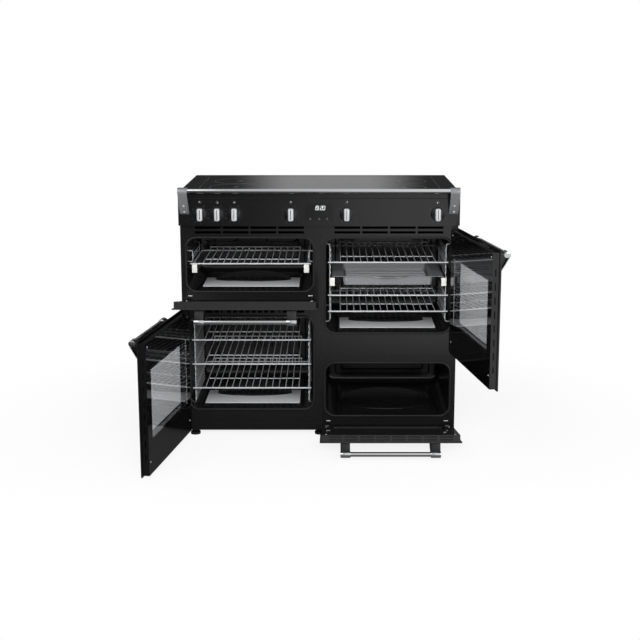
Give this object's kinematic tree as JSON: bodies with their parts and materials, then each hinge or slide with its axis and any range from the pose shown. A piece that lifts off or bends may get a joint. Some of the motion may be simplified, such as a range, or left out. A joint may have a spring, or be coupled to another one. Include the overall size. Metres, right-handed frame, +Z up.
{
  "type": "range cooker",
  "caption": "Free-standing range cooker: glass induction hob, side-hung and drop-down oven doors with bar handles, slide-out shelves and pan, turning knobs, front handrail.",
  "frame": {"origin": "on the floor under the middle of the whole part with its doors open, at the underside of the middle front foot", "axes": "+X to the cooker's right as one faces it, along its width; +Y from the front to the back; +Z up"},
  "size_m": [1.2526, 1.0699, 0.9385],
  "materials": {
    "case_black": "gloss black enamel",
    "zinc_steel": "dull zinc coat",
    "foot_black": "matte black",
    "frame_enamel": "dark grey-black enamel",
    "oven_enamel": "speckled grey enamel, semi-gloss",
    "seal_rubber": "woven and silicone bead",
    "chromed_wire": "bright chromed wire",
    "element_steel": "dark sheathed heating rod",
    "fan_steel": "plain",
    "runner_steel": "bright stainless",
    "pan_enamel": "grey speckled enamel",
    "hob_glass": "black glass-ceramic, opaque from above",
    "coil_copper": "wound copper on a plastic carrier",
    "bright_trim": "satin",
    "display_glass": "smoked black window",
    "knob_chrome": "chrome bar grip on a dark skirt",
    "chrome": "polished",
    "hinge_zinc": "bright zinc",
    "door_gloss": "gloss black enamel",
    "door_enamel": "gloss black enamel, inner side",
    "door_glass": "clear toughened glass"
  },
  "bodies": {
    "case": {"levelling_feet": "foot_black", "base_tray": "case_black", "side_panels": "case_black", "rear_panel": "zinc_steel", "front_frame": "frame_enamel", "liner_grill": "oven_enamel", "liner_main": "oven_enamel", "liner_tall": "oven_enamel", "liner_slow": "oven_enamel", "door_seals": "seal_rubber", "side_racks": "chromed_wire", "grill_element": "element_steel", "fan_covers": "oven_enamel", "runner_channels": "runner_steel", "hob_surround": "case_black", "hob_glass": "hob_glass", "induction_coils": "coil_copper", "hob_trim": "bright_trim", "fascia": "case_black", "display_window": "display_glass", "handrail": "chrome", "handrail_brackets": "chrome", "hinge_brackets": "hinge_zinc"},
    "door_grill": {"grill_door_skin": "door_gloss", "grill_door_panel": "door_enamel", "grill_door_handle": "chrome", "grill_door_straps": "chrome"},
    "door_main": {"main_door_skin": "door_gloss", "main_door_panel": "door_enamel", "main_door_window": "door_glass", "main_door_handle": "chrome", "main_door_straps": "chrome"},
    "door_tall": {"tall_door_skin": "door_gloss", "tall_door_panel": "door_enamel", "tall_door_window": "door_glass", "tall_door_handle": "chrome", "tall_door_straps": "chrome"},
    "door_slow": {"slow_door_skin": "door_gloss", "slow_door_panel": "door_enamel", "slow_door_handle": "chrome", "slow_door_straps": "chrome"},
    "turn_knob_zone_rear_left": {"knob_zone_rear_left": "knob_chrome"},
    "turn_knob_zone_front_left": {"knob_zone_front_left": "knob_chrome"},
    "turn_knob_zone_middle": {"knob_zone_middle": "knob_chrome"},
    "turn_knob_grill": {"knob_grill": "knob_chrome"},
    "turn_knob_main": {"knob_main": "knob_chrome"},
    "turn_knob_tall": {"knob_tall": "knob_chrome"},
    "spin_fan_main": {"fan_main": "fan_steel"},
    "spin_fan_tall": {"fan_tall": "fan_steel"},
    "slide_shelf_grill": {"shelf_grill": "chromed_wire", "runner_slides_grill": "runner_steel"},
    "slide_shelf_main_high": {"shelf_main_high": "chromed_wire"},
    "slide_shelf_main_mid": {"shelf_main_mid": "chromed_wire"},
    "slide_shelf_main_low": {"shelf_main_low": "chromed_wire"},
    "slide_shelf_tall_high": {"shelf_tall_high": "chromed_wire"},
    "slide_shelf_tall_mid": {"shelf_tall_mid": "chromed_wire"},
    "slide_shelf_tall_low": {"shelf_tall_low": "chromed_wire"},
    "slide_pan": {"pan": "pan_enamel", "pan_rack": "chromed_wire", "runner_slides_tall": "runner_steel"}
  },
  "joints": [
    {"name": "grill_door_hinge", "type": "hinge", "parent": "case", "child": "door_grill", "pos_m": [-0.25, -0.058, 0.509], "axis": [1, 0, 0], "range_deg": [-78.5, 0]},
    {"name": "main_door_hinge", "type": "hinge", "parent": "case", "child": "door_main", "pos_m": [-0.486, -0.058, 0.25], "axis": [0, 0, -1], "range_deg": [-99.8, 5]},
    {"name": "tall_door_hinge", "type": "hinge", "parent": "case", "child": "door_tall", "pos_m": [0.486, -0.058, 0.55], "axis": [0, 0, 1], "range_deg": [-99.8, 5]},
    {"name": "slow_door_hinge", "type": "hinge", "parent": "case", "child": "door_slow", "pos_m": [0.25, -0.058, 0.036], "axis": [1, 0, 0], "range_deg": [-78.5, 0]},
    {"name": "knob_zone_rear_left_turn", "type": "hinge", "parent": "case", "child": "turn_knob_zone_rear_left", "pos_m": [-0.422, -0.08, 0.838], "axis": [0, -1, 0], "range_deg": [-270, 0]},
    {"name": "knob_zone_front_left_turn", "type": "hinge", "parent": "case", "child": "turn_knob_zone_front_left", "pos_m": [-0.361, -0.08, 0.838], "axis": [0, -1, 0], "range_deg": [-270, 0]},
    {"name": "knob_zone_middle_turn", "type": "hinge", "parent": "case", "child": "turn_knob_zone_middle", "pos_m": [-0.3, -0.08, 0.838], "axis": [0, -1, 0], "range_deg": [-270, 0]},
    {"name": "knob_grill_turn", "type": "hinge", "parent": "case", "child": "turn_knob_grill", "pos_m": [-0.1, -0.08, 0.838], "axis": [0, -1, 0], "range_deg": [-270, 0]},
    {"name": "knob_main_turn", "type": "hinge", "parent": "case", "child": "turn_knob_main", "pos_m": [0.098, -0.08, 0.838], "axis": [0, -1, 0], "range_deg": [-270, 0]},
    {"name": "knob_tall_turn", "type": "hinge", "parent": "case", "child": "turn_knob_tall", "pos_m": [0.421, -0.08, 0.838], "axis": [0, -1, 0], "range_deg": [-270, 0]},
    {"name": "fan_main_spin", "type": "hinge", "parent": "case", "child": "spin_fan_main", "pos_m": [-0.25, 0.385, 0.2835], "axis": [0, 1, 0], "continuous": true},
    {"name": "fan_tall_spin", "type": "hinge", "parent": "case", "child": "spin_fan_tall", "pos_m": [0.25, 0.385, 0.5725], "axis": [0, 1, 0], "continuous": true},
    {"name": "shelf_grill_slide", "type": "slide", "parent": "case", "child": "slide_shelf_grill", "axis": [0, -1, 0], "range_m": [0, 0.2]},
    {"name": "shelf_main_high_slide", "type": "slide", "parent": "case", "child": "slide_shelf_main_high", "axis": [0, -1, 0], "range_m": [0, 0.25]},
    {"name": "shelf_main_mid_slide", "type": "slide", "parent": "case", "child": "slide_shelf_main_mid", "axis": [0, -1, 0], "range_m": [0, 0.25]},
    {"name": "shelf_main_low_slide", "type": "slide", "parent": "case", "child": "slide_shelf_main_low", "axis": [0, -1, 0], "range_m": [0, 0.25]},
    {"name": "shelf_tall_high_slide", "type": "slide", "parent": "case", "child": "slide_shelf_tall_high", "axis": [0, -1, 0], "range_m": [0, 0.25]},
    {"name": "shelf_tall_mid_slide", "type": "slide", "parent": "case", "child": "slide_shelf_tall_mid", "axis": [0, -1, 0], "range_m": [0, 0.25]},
    {"name": "shelf_tall_low_slide", "type": "slide", "parent": "case", "child": "slide_shelf_tall_low", "axis": [0, -1, 0], "range_m": [0, 0.25]},
    {"name": "pan_slide", "type": "slide", "parent": "case", "child": "slide_pan", "axis": [0, -1, 0], "range_m": [0, 0.24]}
  ]
}
